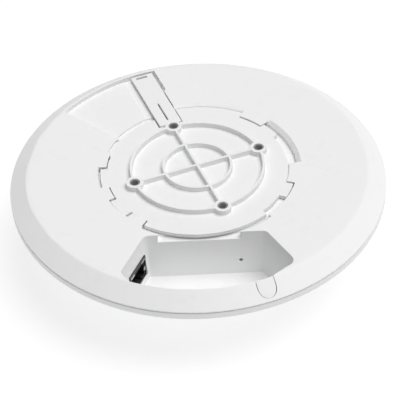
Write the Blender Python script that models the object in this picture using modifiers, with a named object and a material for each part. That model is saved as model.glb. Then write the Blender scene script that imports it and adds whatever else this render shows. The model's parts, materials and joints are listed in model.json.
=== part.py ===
"""Ceiling access point lying on its domed front, with its mounting bracket locked in the back.

Frame: the origin is the crossing of the bracket's ribs, in the plane that meets the ceiling.
+Z points to the ceiling, the port recess opens towards -Y, and the front dome hangs below.
Azimuths are degrees counter-clockwise from +X, seen from the ceiling side.
"""

import math

import bmesh
import bpy
from mathutils import Matrix, Vector

MM = 0.001
ROUND_STEPS = 96
SMALL_STEPS = 20

# Heights, downwards from the ceiling plane
CASING_BACK_Z = -1.6 * MM
SEAM_Z = -8.0 * MM
DOME_START_Z = -12.0 * MM
DOME_LOW_Z = -44.0 * MM
LIP_UNDER_Z = -2.2 * MM
POCKET_FLOOR_Z = -4.7 * MM
LEDGE_Z = -5.4 * MM
ABOVE_ALL_Z = 4.0 * MM

# Outer shells
RIM_R = 85.0 * MM
FLAT_R = 77.4 * MM
SKIN = 2.0 * MM
FIT_GAP = 0.3 * MM
SEAM_GAP = 0.4 * MM
SKIRT_R = 83.3 * MM
SKIRT_WALL = 1.2 * MM
SKIRT_DROP = 2.5 * MM
DOME_START_R = 84.2 * MM

# Bracket and bayonet
SCREW_CIRCLE_R = 30.0 * MM
SCREW_HOLE_R = 2.35 * MM
SLEEVE_BORE_R = 1.75 * MM
BOSS_R = 3.9 * MM
RIB_WIDTH = 1.2 * MM
INNER_RING_R = 15.3 * MM
PLATE_TOP_Z = -2.5 * MM
PLATE_LOW_Z = -4.3 * MM
POCKET_R = 44.8 * MM
POCKET_OPEN_R = 44.95 * MM
POCKET_PAN_R = 48.4 * MM
ARM_AZIMUTH = 110.0
UNLOCK_TURN = 30.0

# Locking arm, in distances along and across its own axis
ARM_ROOT = 34.4 * MM
ARM_END = 74.6 * MM
ARM_LEFT = 5.0 * MM
ARM_RIGHT = -5.6 * MM
ARM_TOP_Z = -2.0 * MM
ARM_LOW_Z = -3.4 * MM
SWEEP_FLOOR_Z = -3.7 * MM
SWEEP_INNER_R = 40.4 * MM
SWEEP_OUTER_R = 75.6 * MM
CHANNEL_FLOOR_Z = -4.0 * MM
CHANNEL_LEFT = 8.5 * MM
CHANNEL_RIGHT = -6.0 * MM
CHANNEL_RIGHT_OUTER = -7.1 * MM
CHANNEL_STEP = 58.4 * MM

# Port recess
RECESS_FLOOR_Z = -24.2 * MM
RECESS_OUTER_R = 77.0 * MM
RECESS_DRAFT = 2.2 * MM
RECESS_WALL = 1.4 * MM
RECESS_INNER_Y = -43.7 * MM
PINHOLE_X = 17.2 * MM
PINHOLE_Z = -17.2 * MM
PINHOLE_R = 0.85 * MM

# Ethernet jack, in its own frame: +X out of its mouth
JACK_WIDTH = 15.2 * MM
JACK_HEIGHT = 11.2 * MM
JACK_DEPTH = 15.5 * MM
JACK_TOP_Z = -10.4 * MM
JACK_AZIMUTH = -24.3

# Circuit board and what stands on it
BOARD_TOP_Z = -8.6 * MM
BOARD_THICK = 1.6 * MM
BOARD_LOW_Z = BOARD_TOP_Z - BOARD_THICK
BOARD_R = 66.0 * MM
SPREADER_TOP_Z = -14.9 * MM
SPREADER_THICK = 1.5 * MM
SPREADER_R = 38.0 * MM
CABLE_SPOT = (-1.0 * MM, 12.0 * MM)
LED_BOARD_LOW_Z = -37.4 * MM

# Light ring in the middle of the dome
RING_OUTER_R = 22.0 * MM
RING_INNER_R = 18.9 * MM

PARTS = "ceiling_access_point"
CUTTERS = "cutters"


# ---------------------------------------------------------------- scene helpers


def clear_scene():
    for obj in list(bpy.data.objects):
        bpy.data.objects.remove(obj, do_unlink=True)


def make_collection(name):
    group = bpy.data.collections.new(name)
    bpy.context.scene.collection.children.link(group)
    return group


def make_material(name, colour, roughness, metallic=0.0):
    material = bpy.data.materials.new(name)
    material.use_nodes = True
    shader = material.node_tree.nodes["Principled BSDF"]
    shader.inputs["Base Color"].default_value = (*colour, 1.0)
    shader.inputs["Roughness"].default_value = roughness
    shader.inputs["Metallic"].default_value = metallic
    return material


def place(name, mesh, helper=False):
    """Link a mesh as a part, or as a cutter or building block that isn't a part."""
    obj = bpy.data.objects.new(name, mesh)
    bpy.data.collections[CUTTERS if helper else PARTS].objects.link(obj)
    if helper:
        obj.hide_render = True
        obj.display_type = "WIRE"
    return obj


def finish(obj, material, smooth=False):
    obj.data.materials.append(material)
    if smooth:
        obj.data.shade_smooth()
        obj.data.set_sharp_from_angle(angle=math.radians(30))
    return obj


def boolean(obj, other, operation):
    modifier = obj.modifiers.new(f"{operation.lower()} {other.name}", "BOOLEAN")
    modifier.operation = operation
    modifier.solver = "EXACT"
    modifier.object = other


def cut(obj, *cutters):
    for cutter in cutters:
        boolean(obj, cutter, "DIFFERENCE")
    return obj


def join(obj, *pieces):
    for piece in pieces:
        boolean(obj, piece, "UNION")
    return obj


def keep_inside(obj, other):
    boolean(obj, other, "INTERSECT")
    return obj


# ---------------------------------------------------------------- shape helpers


def mesh_of(work, name):
    bmesh.ops.recalc_face_normals(work, faces=work.faces)
    mesh = bpy.data.meshes.new(name)
    work.to_mesh(mesh)
    work.free()
    return mesh


def turned(name, profile, steps=ROUND_STEPS, closed=False, helper=False):
    """A profile of (radius, height) turned about Z. It runs down its outer side."""
    work = bmesh.new()
    verts = [work.verts.new((radius, 0.0, height)) for radius, height in profile]
    for start, end in zip(verts, verts[1:]):
        work.edges.new((start, end))
    if closed:
        work.edges.new((verts[-1], verts[0]))
    mesh = bpy.data.meshes.new(name)
    work.to_mesh(mesh)
    work.free()
    obj = place(name, mesh, helper)
    screw = obj.modifiers.new("turn", "SCREW")
    screw.axis = "Z"
    screw.steps = steps
    screw.render_steps = steps
    screw.use_merge_vertices = True
    screw.merge_threshold = 0.00001
    return obj


def prism(name, outline, low, high, helper=False, low_outline=None):
    """A flat outline drawn up from low to high, with a second outline for a drafted foot."""
    work = bmesh.new()
    top = work.faces.new([work.verts.new((x, y, high)) for x, y in outline])
    top_verts = list(top.verts)
    made = bmesh.ops.extrude_face_region(work, geom=[top])
    foot = [v for v in made["geom"] if isinstance(v, bmesh.types.BMVert)]
    foot_xy = {}
    for index, vert in enumerate(top_verts):
        foot_xy[vert.co.to_tuple(9)] = (low_outline or outline)[index]
    for vert in foot:
        x, y = foot_xy[vert.co.to_tuple(9)]
        vert.co = (x, y, low)
    return place(name, mesh_of(work, name), helper)


def box(name, size, centre, azimuth=0.0, helper=False):
    work = bmesh.new()
    bmesh.ops.create_cube(work, size=1.0)
    bmesh.ops.scale(work, vec=size, verts=work.verts)
    obj = place(name, mesh_of(work, name), helper)
    obj.location = centre
    obj.rotation_euler.z = math.radians(azimuth)
    return obj


def disc(name, radius, low, high, x=0.0, y=0.0, steps=SMALL_STEPS, helper=False):
    work = bmesh.new()
    bmesh.ops.create_cone(
        work, cap_ends=True, segments=steps, radius1=radius, radius2=radius, depth=high - low
    )
    obj = place(name, mesh_of(work, name), helper)
    obj.location = (x, y, (low + high) / 2)
    return obj


def polar(radius, azimuth):
    angle = math.radians(azimuth)
    return (radius * math.cos(angle), radius * math.sin(angle))


def arc(radius, start, end, step=3.0):
    count = max(2, math.ceil(abs(end - start) / step) + 1)
    return [polar(radius, start + (end - start) * i / (count - 1)) for i in range(count)]


def stepped_outline(zones):
    """An outline of arcs about Z. Each zone is (start azimuth, radius), up to the next start."""
    outline = []
    for (start, radius), (end, _) in zip(zones, zones[1:] + [(zones[0][0] + 360.0, 0.0)]):
        outline += arc(radius, start + 0.15, end - 0.15)
    return outline


def rounded(corners, steps=4):
    """The corners (x, y, radius) of an outline, each replaced by an arc of its radius."""
    outline = []
    for index, (x, y, radius) in enumerate(corners):
        here = Vector((x, y))
        if not radius:
            outline.append((x, y))
            continue
        before = (Vector(corners[index - 1][:2]) - here).normalized()
        after = (Vector(corners[(index + 1) % len(corners)][:2]) - here).normalized()
        half = before.angle(after) / 2
        middle = here + (before + after).normalized() * radius / math.sin(half)
        first = (here + before * radius / math.tan(half)) - middle
        turn = first.angle_signed((here + after * radius / math.tan(half)) - middle)
        for i in range(steps + 1):
            outline.append(tuple(middle + Matrix.Rotation(-turn * i / steps, 2) @ first))
    return outline


def inset(outline, distance):
    """The outline of a counter-clockwise shape moved inwards, or outwards if negative."""
    moved = []
    for index, point in enumerate(outline):
        here = Vector(point)
        along = (here - Vector(outline[index - 1])).normalized()
        onward = (Vector(outline[(index + 1) % len(outline)]) - here).normalized()
        inward = Vector((-along.y - onward.y, along.x + onward.x)).normalized()
        share = max(0.35, inward.dot(Vector((-along.y, along.x))))
        moved.append(tuple(here + inward * distance / share))
    return moved


def arm_point(along, across, turn=0.0):
    """A point by its distance along and to the left of the locking arm's axis."""
    return tuple(Matrix.Rotation(math.radians(ARM_AZIMUTH + turn), 2) @ Vector((along, across)))


def arm_box(corners, turn=0.0):
    return [arm_point(along, across, turn) for along, across in corners]


def dome_profile(depth, count=12, least_radius=0.0):
    """The dome's outline from rim to middle, set inwards by depth, as (radius, height)."""
    cage = [
        Vector((DOME_START_R, DOME_START_Z)),
        Vector((63.0 * MM, -37.0 * MM)),
        Vector((38.0 * MM, DOME_LOW_Z)),
        Vector((0.0, DOME_LOW_Z)),
    ]
    profile = []
    for i in range(count + 1):
        t = i / count
        s = 1 - t
        point = s**3 * cage[0] + 3 * s * s * t * cage[1] + 3 * s * t * t * cage[2] + t**3 * cage[3]
        slope = (
            s * s * (cage[1] - cage[0]) + 2 * s * t * (cage[2] - cage[1]) + t * t * (cage[3] - cage[2])
        )
        inward = Vector((slope.y, -slope.x)).normalized()
        moved = point + inward * depth
        if moved.x >= least_radius:
            profile.append((moved.x, moved.y))
    if least_radius == 0.0:
        profile[-1] = (0.0, profile[-1][1])
    return profile


def dome_space(name, depth):
    """A closed solid of everything inside the dome set inwards by depth, open upwards."""
    profile = dome_profile(depth)
    top = [(0.0, ABOVE_ALL_Z), (profile[0][0], ABOVE_ALL_Z)]
    return turned(name, top + profile, helper=True)


# ---------------------------------------------------------------- outlines

# Where the casing's opening for the bracket narrows to a retaining lip, and where it is open
CASING_OPENING = [
    (0.0, POCKET_OPEN_R),
    (42.3, 40.9 * MM),
    (59.5, POCKET_OPEN_R),
    (134.0, 41.9 * MM),
    (149.5, 42.7 * MM),
    (161.5, 41.3 * MM),
    (176.0, POCKET_OPEN_R),
    (194.5, 41.3 * MM),
    (206.0, 44.3 * MM),
    (224.6, 40.9 * MM),
    (235.6, POCKET_OPEN_R),
    (312.4, POCKET_OPEN_R + 0.05 * MM),
    (342.8, 41.3 * MM),
]

# The ramped walls of open stretches: start azimuths, lowest height, and run out per unit of rise
RAMPS = [
    ((0.0, 235.6), -3.4 * MM, 1.15),
    ((59.5,), -2.8 * MM, 1.9),
]
RAMP_HIGH_Z = -0.6 * MM
RAMP_BACK = 0.2 * MM
RAMP_INSET = 0.6

# The bracket's flange: each low stretch passes one lip when the bracket is turned to unlock
BRACKET_FLANGE = [
    (0.0, 40.8 * MM),
    (29.5, 43.2 * MM),
    (43.5, 44.4 * MM),
    (60.5, 44.55 * MM),
    (103.0, 41.0 * MM),
    (146.4, 44.2 * MM),
    (164.0, 40.9 * MM),
    (176.7, 43.9 * MM),
    (194.0, 40.6 * MM),
    (206.7, 43.8 * MM),
    (222.0, 40.3 * MM),
    (236.0, 43.4 * MM),
    (312.4, 41.0 * MM),
    (330.4, 44.3 * MM),
]


def recess_outline():
    """The port recess at the casing's back, counter-clockwise."""
    right_end = -68.0
    left_end = -113.4
    corners = [(-34.4 * MM, -65.4 * MM, 2.5 * MM)]
    corners += [(x, y, 0.0) for x, y in arc(RECESS_OUTER_R, left_end, right_end)]
    corners += [
        (39.7 * MM, -63.0 * MM, 3.5 * MM),
        (28.2 * MM, RECESS_INNER_Y, 3.0 * MM),
        (-24.3 * MM, RECESS_INNER_Y, 3.0 * MM),
    ]
    return rounded(corners)


def ramp_zones(starts, reach):
    """One ramp's outline: its open stretches reach out, and the rest is left alone."""
    zones = []
    for start, _ in CASING_OPENING:
        if start in starts:
            zones.append((start + RAMP_INSET, POCKET_OPEN_R + reach))
        else:
            zones.append((start - RAMP_INSET, 39.0 * MM))
    return zones


def pocket_ramps():
    """Drafted cutters that open the pocket's rim gently where no lip is."""
    cutters = []
    for index, (starts, low, run) in enumerate(RAMPS):
        reach = run * (RAMP_HIGH_Z - low) - RAMP_BACK
        high_outline = stepped_outline(ramp_zones(starts, reach))
        low_outline = stepped_outline(ramp_zones(starts, -RAMP_BACK))
        name = f"pocket_ramp_{index}"
        cutters.append(prism(name, high_outline, low, RAMP_HIGH_Z, helper=True, low_outline=low_outline))
    return cutters


def bed_outline(left, turn, grow):
    """The bed beside the arm's right edge, round the rim, and back along a left edge."""
    right = CHANNEL_RIGHT - grow
    right_outer = CHANNEL_RIGHT_OUTER - grow
    outer = SWEEP_OUTER_R + grow
    start = ARM_AZIMUTH + math.degrees(math.asin(right_outer / outer))
    end = ARM_AZIMUTH + turn + math.degrees(math.asin(left / outer))
    return [
        arm_point(SWEEP_INNER_R, right),
        arm_point(CHANNEL_STEP, right),
        arm_point(CHANNEL_STEP + MM, right_outer),
        *arc(outer, start, end),
        arm_point(SWEEP_INNER_R, left, turn),
    ]


def sweep_outline(grow=0.0):
    """The wedge that the locking arm crosses when the bracket turns."""
    return bed_outline(ARM_LEFT + 0.6 * MM + grow, UNLOCK_TURN, grow)


def channel_outline(grow=0.0):
    """The deeper bed under the locking arm at rest."""
    return bed_outline(CHANNEL_LEFT + grow, 0.0, grow)


def u_outline(grow=0.0):
    """The cable knock-out in the sloping rim, round at its outer end."""
    half = 4.2 * MM + grow
    middle = 79.9 * MM
    inner = 70.0 * MM
    turn = Matrix.Rotation(math.radians(-70.6), 2)
    outline = [turn @ Vector((inner, -half))]
    for i in range(13):
        angle = math.radians(-90 + 15 * i)
        outline.append(turn @ Vector((middle + half * math.cos(angle), half * math.sin(angle))))
    outline.append(turn @ Vector((inner, half)))
    return [tuple(point) for point in outline]


# ---------------------------------------------------------------- casing


def slope_skin(name, below, above=0.0):
    """The sloping rim's wall as a turned ring, for the knock-out and for its hole."""
    fall = Vector((RIM_R - FLAT_R, SEAM_Z - CASING_BACK_Z)).normalized()
    inward = Vector((fall.y, -fall.x))
    crest = Vector((FLAT_R, CASING_BACK_Z)) - inward * above
    low = crest + fall * 8.9 * MM
    inner_low = low + inward * (below + above)
    inner_high = crest + inward * (below + above)
    inner_r = RECESS_OUTER_R + (FIT_GAP if not above else -3.0 * MM)
    share = (inner_r - inner_high.x) / fall.x
    foot = inner_high + fall * share
    profile = [(inner_r, crest.y), tuple(crest), tuple(low), tuple(inner_low), tuple(foot)]
    return turned(name, profile, closed=True, helper=bool(above))


def casing_screw_spots():
    spots = [(54.0, -25.0), (52.0, 78.0), (52.0, 160.0), (57.0, 215.0)]
    return [polar(radius * MM, azimuth) for radius, azimuth in spots]


def rear_casing(white):
    inner_slope_r = FLAT_R - 1.0 * MM
    skirt_inner = SKIRT_R - SKIRT_WALL
    casing = turned(
        "rear_casing",
        [
            (0.0, CASING_BACK_Z),
            (FLAT_R - 1.0 * MM, CASING_BACK_Z),
            (FLAT_R + 0.1 * MM, CASING_BACK_Z - 0.25 * MM),
            (FLAT_R + 1.1 * MM, CASING_BACK_Z - 1.0 * MM),
            (RIM_R, SEAM_Z + 0.6 * MM),
            (RIM_R, SEAM_Z),
            (SKIRT_R, SEAM_Z),
            (SKIRT_R, SEAM_Z - SKIRT_DROP),
            (skirt_inner, SEAM_Z - SKIRT_DROP),
            (skirt_inner, SEAM_Z - 0.5 * MM),
            (inner_slope_r, CASING_BACK_Z - SKIN),
            (0.0, CASING_BACK_Z - SKIN),
        ],
    )
    buried = CASING_BACK_Z - 0.9 * MM
    outline = recess_outline()
    tub = prism(
        "recess_tub",
        inset(outline, -RECESS_WALL),
        RECESS_FLOOR_Z - RECESS_WALL,
        buried - 0.7 * MM,
        helper=True,
        low_outline=inset(outline, RECESS_DRAFT - RECESS_WALL),
    )
    keep_inside(tub, dome_space("tub_limit", SKIN + FIT_GAP))
    join(
        casing,
        disc("pocket_pan", POCKET_PAN_R, LEDGE_Z - 1.6 * MM, buried, steps=ROUND_STEPS, helper=True),
        prism("sweep_pan", sweep_outline(1.5 * MM), SWEEP_FLOOR_Z - 1.5 * MM, buried - 0.1 * MM, helper=True),
        prism("channel_pan", channel_outline(1.4 * MM), CHANNEL_FLOOR_Z - 1.4 * MM, buried - 0.2 * MM, helper=True),
        tub,
    )
    for index, (x, y) in enumerate(casing_screw_spots()):
        post = disc(f"post_{index}", 2.8 * MM, BOARD_TOP_Z + FIT_GAP, buried - 0.3 * MM, x, y, helper=True)
        join(casing, post)
        pilot = disc(f"pilot_{index}", 1.3 * MM, BOARD_TOP_Z - MM, -3.9 * MM, x, y, helper=True)
        cut(casing, pilot)

    cavity = prism(
        "recess_cavity",
        inset(outline, -RECESS_DRAFT * (ABOVE_ALL_Z - CASING_BACK_Z) / (CASING_BACK_Z - RECESS_FLOOR_Z)),
        RECESS_FLOOR_Z,
        ABOVE_ALL_Z,
        helper=True,
        low_outline=inset(outline, RECESS_DRAFT),
    )
    keep_inside(cavity, dome_space("cavity_limit", SKIN + FIT_GAP + RECESS_WALL))
    ledge_left = -18.5 * MM
    ledge_right = 17.4 * MM
    ledge = box(
        "ledge_notch",
        (ledge_right - ledge_left, 6.0 * MM, ABOVE_ALL_Z - LEDGE_Z),
        ((ledge_left + ledge_right) / 2, RECESS_INNER_Y + 0.5 * MM, (ABOVE_ALL_Z + LEDGE_Z) / 2),
        helper=True,
    )
    pinhole = disc("reset_pinhole", PINHOLE_R, -5.0 * MM, 5.0 * MM, helper=True)
    pinhole.location = (PINHOLE_X, RECESS_INNER_Y, PINHOLE_Z)
    pinhole.rotation_euler.x = math.radians(90)
    window_x, window_y, window_z = jack_point(-1.0 * MM, 0.0, 0.0)
    window = box(
        "jack_window",
        (7.0 * MM, JACK_WIDTH + 2 * FIT_GAP, JACK_HEIGHT + 2 * FIT_GAP),
        (window_x, window_y, window_z),
        JACK_AZIMUTH,
        helper=True,
    )
    knockout_hole = prism("knockout_hole", u_outline(), -9.6 * MM, ABOVE_ALL_Z, helper=True)
    keep_inside(knockout_hole, slope_skin("knockout_depth", SKIN + 0.4 * MM, above=1.5 * MM))
    cut(
        casing,
        disc("pocket_undercut", POCKET_R, POCKET_FLOOR_Z, LIP_UNDER_Z, steps=ROUND_STEPS, helper=True),
        prism("pocket_opening", stepped_outline(CASING_OPENING), POCKET_FLOOR_Z + 0.6 * MM, ABOVE_ALL_Z, helper=True),
        *pocket_ramps(),
        prism("arm_sweep", sweep_outline(), SWEEP_FLOOR_Z, ABOVE_ALL_Z + MM, helper=True),
        prism("arm_channel", channel_outline(-0.02 * MM), CHANNEL_FLOOR_Z, ABOVE_ALL_Z + 2 * MM, helper=True),
        cavity,
        ledge,
        pinhole,
        window,
        knockout_hole,
    )
    return finish(casing, white)


def cable_knockout(white):
    """The tab that snaps out of the rim to let a cable leave sideways."""
    tab = slope_skin("cable_knockout", SKIN)
    keep_inside(tab, prism("knockout_outline", u_outline(-FIT_GAP), -9.6 * MM, ABOVE_ALL_Z, helper=True))
    return finish(tab, white)


def front_cover(white):
    wall = SKIN
    hole = RING_OUTER_R + FIT_GAP
    top = SEAM_Z - SEAM_GAP
    skirt_space = SKIRT_R + FIT_GAP
    outer = dome_profile(0.0, least_radius=hole)
    inner = dome_profile(wall, count=9, least_radius=hole)
    edge_z = outer[-1][1] - 0.12 * MM
    profile = [(skirt_space, top), (RIM_R, top), (RIM_R, DOME_START_Z + 1.2 * MM)]
    profile += outer
    profile += [(hole, edge_z), (hole, edge_z + wall)]
    profile += list(reversed(inner[1:]))
    profile += [(skirt_space, SEAM_Z - SKIRT_DROP - FIT_GAP)]
    return finish(turned("front_cover", profile, closed=True), white, smooth=True)


def light_ring(clear):
    """The glowing ring, with a flange that is bonded behind the cover and carries the cap."""
    face_z = -42.95 * MM
    ledge_z = face_z + 2.3 * MM
    profile = [
        (RING_INNER_R - 3.0 * MM, ledge_z + MM),
        (RING_OUTER_R + 3.0 * MM, ledge_z + MM),
        (RING_OUTER_R + 3.0 * MM, ledge_z + 0.3 * MM),
        (RING_OUTER_R, ledge_z + 0.1 * MM),
        (RING_OUTER_R, face_z),
        (RING_INNER_R, face_z - 0.12 * MM),
        (RING_INNER_R, ledge_z),
        (RING_INNER_R - 3.0 * MM, ledge_z),
    ]
    return finish(turned("light_ring", profile, steps=48, closed=True), clear, smooth=True)


def centre_cap(white):
    """The plain cap in the middle of the dome, which the device stands on."""
    edge = RING_INNER_R - FIT_GAP
    profile = [
        (0.0, -41.0 * MM),
        (edge, -41.0 * MM),
        (edge, -43.1 * MM),
        (12.0 * MM, DOME_LOW_Z),
        (0.0, DOME_LOW_Z),
    ]
    return finish(turned("centre_cap", profile, steps=48), white, smooth=True)


# ---------------------------------------------------------------- bracket


def screw_spots():
    return [polar(SCREW_CIRCLE_R, ARM_AZIMUTH + 90.0 * i) for i in range(4)]


def rib_ring(name, radius):
    half = RIB_WIDTH / 2
    low = PLATE_TOP_Z - 0.8 * MM
    profile = [(radius - half, 0.0), (radius + half, 0.0), (radius + half, low), (radius - half, low)]
    return turned(name, profile, closed=True, helper=True)


def mounting_bracket(white):
    plate = prism("mounting_bracket", stepped_outline(BRACKET_FLANGE), PLATE_LOW_Z, PLATE_TOP_Z)
    arm_gap = arm_box(
        [
            (ARM_ROOT - FIT_GAP, ARM_RIGHT - 0.6 * MM),
            (60.0 * MM, ARM_RIGHT - 0.6 * MM),
            (60.0 * MM, ARM_LEFT + 0.7 * MM),
            (ARM_ROOT - FIT_GAP, ARM_LEFT + 0.7 * MM),
        ]
    )
    cut(plate, prism("arm_gap", arm_gap, PLATE_LOW_Z - 2 * MM, ABOVE_ALL_Z, helper=True))
    join(plate, rib_ring("outer_rib", SCREW_CIRCLE_R - 0.05 * MM), rib_ring("inner_rib", INNER_RING_R))
    low = PLATE_TOP_Z - 0.7 * MM
    for index in range(2):
        rib = box(
            f"cross_rib_{index}",
            (2 * SCREW_CIRCLE_R, RIB_WIDTH, -low),
            (0.0, 0.0, low / 2),
            ARM_AZIMUTH + 90.0 * index,
            helper=True,
        )
        join(plate, rib)
    for index, (x, y) in enumerate(screw_spots()):
        join(plate, disc(f"boss_{index}", BOSS_R, PLATE_TOP_Z - 0.9 * MM, 0.0, x, y, helper=True))
        cut(plate, disc(f"screw_hole_{index}", SCREW_HOLE_R, -8 * MM, 2 * MM, x, y, helper=True))
    return finish(plate, white)


def screw_sleeves(steel):
    """The dark steel sleeves that take the screws' load in the bosses."""
    outer = SCREW_HOLE_R - FIT_GAP
    for index, (x, y) in enumerate(screw_spots(), start=1):
        high = -0.3 * MM
        low = -4.0 * MM
        profile = [(SLEEVE_BORE_R, high), (outer, high), (outer, low), (SLEEVE_BORE_R, low)]
        sleeve = turned(f"screw_sleeve_{index}", profile, steps=32, closed=True)
        sleeve.location = (x, y, 0.0)
        finish(sleeve, steel, smooth=True)


def locking_arm(white):
    """The springing arm, which hinges on its moulded root beside the screw boss."""
    root = ARM_ROOT
    corners = [(root, ARM_RIGHT), (ARM_END, ARM_RIGHT), (ARM_END, ARM_LEFT), (root, ARM_LEFT)]
    centre_x, centre_y = arm_point(root, 0.0)
    local = [(x - centre_x, y - centre_y) for x, y in arm_box(corners)]
    hinge_z = (ARM_TOP_Z + ARM_LOW_Z) / 2
    arm = prism("locking_arm", local, ARM_LOW_Z - hinge_z, ARM_TOP_Z - hinge_z)
    arm.location = (centre_x, centre_y, hinge_z)
    slit = arm_box([(37.5 * MM, -0.4 * MM), (51.0 * MM, -0.4 * MM), (51.0 * MM, 0.4 * MM), (37.5 * MM, 0.4 * MM)])
    slot = arm_box([(72.2 * MM, -2.6 * MM), (73.6 * MM, -2.6 * MM), (73.6 * MM, 2.9 * MM), (72.2 * MM, 2.9 * MM)])
    cut(
        arm,
        prism("arm_slit", slit, -7 * MM, ABOVE_ALL_Z, helper=True),
        prism("release_slot", slot, -7 * MM, ABOVE_ALL_Z, helper=True),
    )
    return finish(arm, white)


# ---------------------------------------------------------------- ethernet jack


def jack_point(out, across, up):
    """A point by its distance out of the jack's mouth, across it, and above its middle."""
    mouth = Vector((-27.3, -53.6)) * MM
    x, y = mouth + Matrix.Rotation(math.radians(JACK_AZIMUTH), 2) @ Vector((out, across))
    return (x, y, JACK_TOP_Z - JACK_HEIGHT / 2 + up)


def jack_box(name, near, far, across, up, width, height, helper=False):
    """A block in the jack's frame, from near to far behind its mouth."""
    centre = jack_point(-(near + far) / 2, across, up)
    return box(name, (far - near, width, height), centre, JACK_AZIMUTH, helper)


def ethernet_jack(steel, black, gold):
    wall = 0.5 * MM
    shell = jack_box("jack_shell", 0.0, JACK_DEPTH, 0.0, 0.0, JACK_WIDTH, JACK_HEIGHT)
    hollow_w = JACK_WIDTH - 2 * wall
    hollow_h = JACK_HEIGHT - 2 * wall
    cut(shell, jack_box("shell_hollow", -MM, JACK_DEPTH - wall, 0.0, 0.0, hollow_w, hollow_h, helper=True))
    finish(shell, steel)
    insert_w = hollow_w - 2 * FIT_GAP
    insert_h = hollow_h - 2 * FIT_GAP
    insert = jack_box("jack_insert", 0.4 * MM, JACK_DEPTH - wall - FIT_GAP, 0.0, 0.0, insert_w, insert_h)
    mouth_up = -0.6 * MM
    cut(
        insert,
        jack_box("plug_space", -MM, 12.0 * MM, 0.0, mouth_up, 11.8 * MM, 6.8 * MM, helper=True),
        jack_box("latch_space", -2 * MM, 11.0 * MM, 0.0, mouth_up - 3.6 * MM, 6.2 * MM, 2.6 * MM, helper=True),
    )
    finish(insert, black)
    contacts = jack_box("jack_contacts", 9.6 * MM, 11.6 * MM, 0.0, 1.9 * MM, 9.0 * MM, 0.5 * MM)
    for index in range(8):
        across = (index - 3.5) * 1.02 * MM
        blade = jack_box(f"blade_{index}", 3.0 * MM, 10.0 * MM, across, 1.9 * MM, 0.35 * MM, 0.4 * MM, helper=True)
        join(contacts, blade)
    finish(contacts, gold)


# ---------------------------------------------------------------- inside


def board_outline():
    """A round board with a bite for the port recess, counter-clockwise from the bite's right."""
    bite_right = 44.5 * MM
    bite_left = -27.6 * MM
    inner_y = -40.8 * MM
    start = math.degrees(math.asin(inner_y / BOARD_R))
    lower = -math.sqrt(BOARD_R**2 - (38.6 * MM) ** 2)
    outline = [(bite_right, inner_y)] + arc(BOARD_R, start, 180.0, 6.0)
    outline += arc(BOARD_R, 180.0, 180.0 + math.degrees(math.asin(-lower / BOARD_R)), 6.0)[1:]
    return outline + [(bite_left - 6.6 * MM, -49.6 * MM), (bite_left, inner_y)]


def main_board(green):
    board = prism("main_board", board_outline(), BOARD_LOW_Z, BOARD_TOP_Z)
    for index, (x, y) in enumerate(casing_screw_spots()):
        cut(board, disc(f"board_hole_{index}", 1.5 * MM, -14 * MM, -5 * MM, x, y, helper=True))
    return finish(board, green)


def board_screws(steel):
    head_z = BOARD_LOW_Z - 0.1 * MM
    for index, (x, y) in enumerate(casing_screw_spots()):
        profile = [
            (0.0, BOARD_TOP_Z + 4.2 * MM),
            (1.05 * MM, BOARD_TOP_Z + 4.2 * MM),
            (1.05 * MM, head_z),
            (2.6 * MM, head_z),
            (2.6 * MM, head_z - 1.1 * MM),
            (1.9 * MM, head_z - 1.8 * MM),
            (0.0, head_z - 1.8 * MM),
        ]
        screw = turned(f"board_screw_{index + 1}", profile, steps=16)
        screw.location = (x, y, 0.0)
        finish(screw, steel, smooth=True)


def board_block(name, x, y, length, width, height, material, azimuth=0.0, gap=0.05 * MM):
    """A block that hangs from the board's front side."""
    centre = (x, y, BOARD_LOW_Z - gap - height / 2)
    return finish(box(name, (length, width, height), centre, azimuth), material)


def shield_can(name, x, y, length, width, steel):
    """A folded steel lid over a chip, open towards the board."""
    height = 3.0 * MM
    wall = 0.4 * MM
    can = box(name, (length, width, height), (x, y, BOARD_LOW_Z - 0.05 * MM - height / 2))
    hollow = box(
        f"{name}_hollow",
        (length - 2 * wall, width - 2 * wall, height),
        (x, y, BOARD_LOW_Z - height / 2 + wall),
        helper=True,
    )
    cut(can, hollow)
    return finish(can, steel)


def board_parts(steel, black, grey, blue, pad):
    """The shielded radio and processor sections, and the power parts between them."""
    sections = [
        ("processor", 4.0 * MM, -22.0 * MM, 30.0 * MM, 20.0 * MM, 13.0 * MM),
        ("low_band", -20.0 * MM, 12.0 * MM, 24.0 * MM, 24.0 * MM, 9.0 * MM),
        ("high_band", 18.0 * MM, 12.0 * MM, 24.0 * MM, 24.0 * MM, 9.0 * MM),
    ]
    for name, x, y, length, width, chip in sections:
        shield_can(f"{name}_shield", x, y, length, width, steel)
        board_block(f"{name}_chip", x, y, chip, chip, 1.2 * MM, black)
        centre = (x, y, BOARD_LOW_Z - 3.0 * MM - 0.05 * MM - 0.85 * MM)
        finish(box(f"{name}_thermal_pad", (chip + 4 * MM, chip + 4 * MM, 1.1 * MM), centre), pad)
    board_block("memory_chip", -24.0 * MM, -18.0 * MM, 12.0 * MM, 9.0 * MM, 1.1 * MM, black)
    board_block("flash_chip", 30.0 * MM, -14.0 * MM, 8.0 * MM, 6.0 * MM, 1.5 * MM, black, 90.0)
    board_block("network_transformer", -42.0 * MM, -16.0 * MM, 16.0 * MM, 9.0 * MM, 4.2 * MM, black, 66.0)
    board_block("power_transformer", -48.0 * MM, 6.0 * MM, 14.0 * MM, 13.0 * MM, 9.5 * MM, grey)
    for index, azimuth in enumerate((142.0, 149.5)):
        x, y = polar(57.0 * MM, azimuth)
        high = BOARD_LOW_Z - 0.05 * MM
        finish(disc(f"power_capacitor_{index + 1}", 3.2 * MM, high - 9.0 * MM, high, x, y), blue, smooth=True)


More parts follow.
